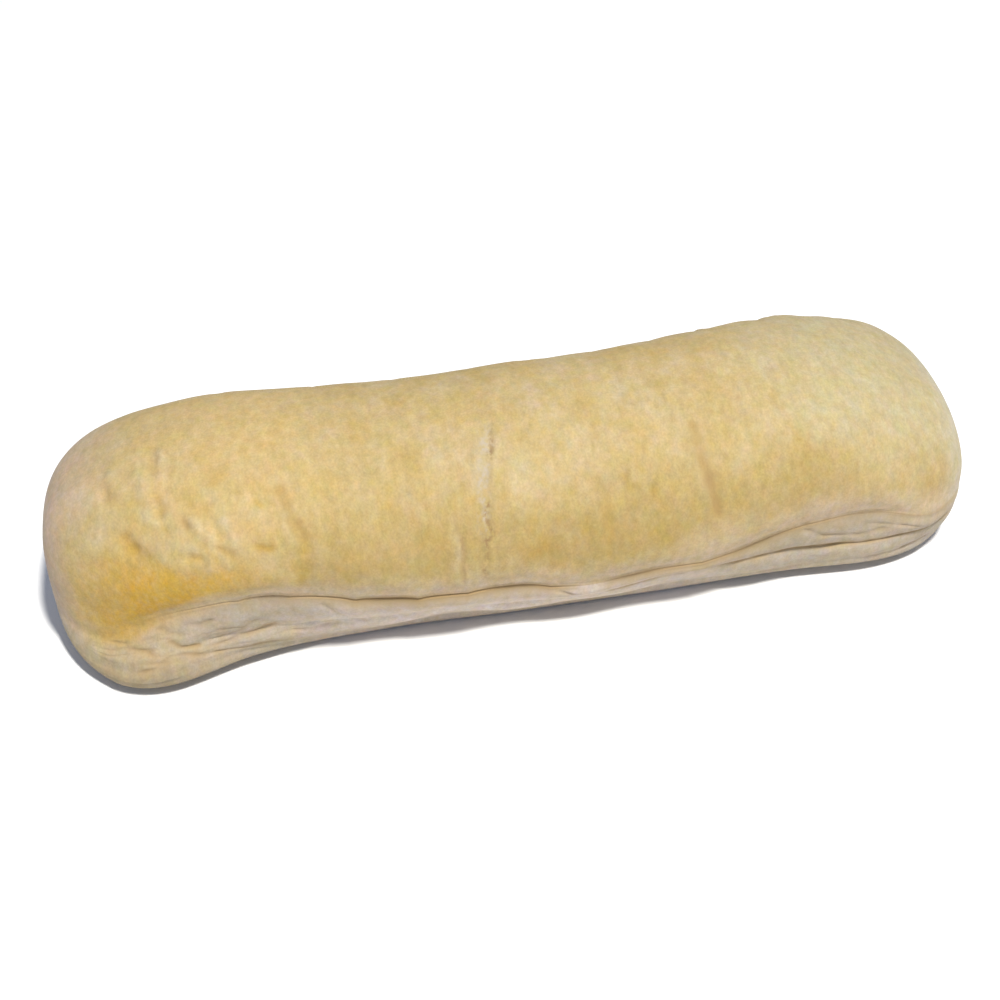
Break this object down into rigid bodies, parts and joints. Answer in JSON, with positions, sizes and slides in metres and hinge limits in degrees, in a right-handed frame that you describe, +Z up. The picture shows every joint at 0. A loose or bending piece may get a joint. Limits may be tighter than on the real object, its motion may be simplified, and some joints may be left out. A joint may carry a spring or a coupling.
{
  "type": "panini roll",
  "caption": "Long soft white bread roll with a domed golden crown folded over a pale tucked-in wall, blunt rounded ends and a flat base, to be split and filled.",
  "frame": {"origin": "middle of the roll's box, at the level of its flat base, on the surface that it rests on", "axes": "+X along the roll, +Z up from the base to the crown, -Y towards the front wall with the long open fold"},
  "size_m": [0.24, 0.0712, 0.0547],
  "materials": {
    "crust": "soft matte baked bread crust, golden straw on the crown and pale beige on the wall and base"
  },
  "bodies": {
    "root": {"panini_roll": "crust"}
  },
  "joints": []
}
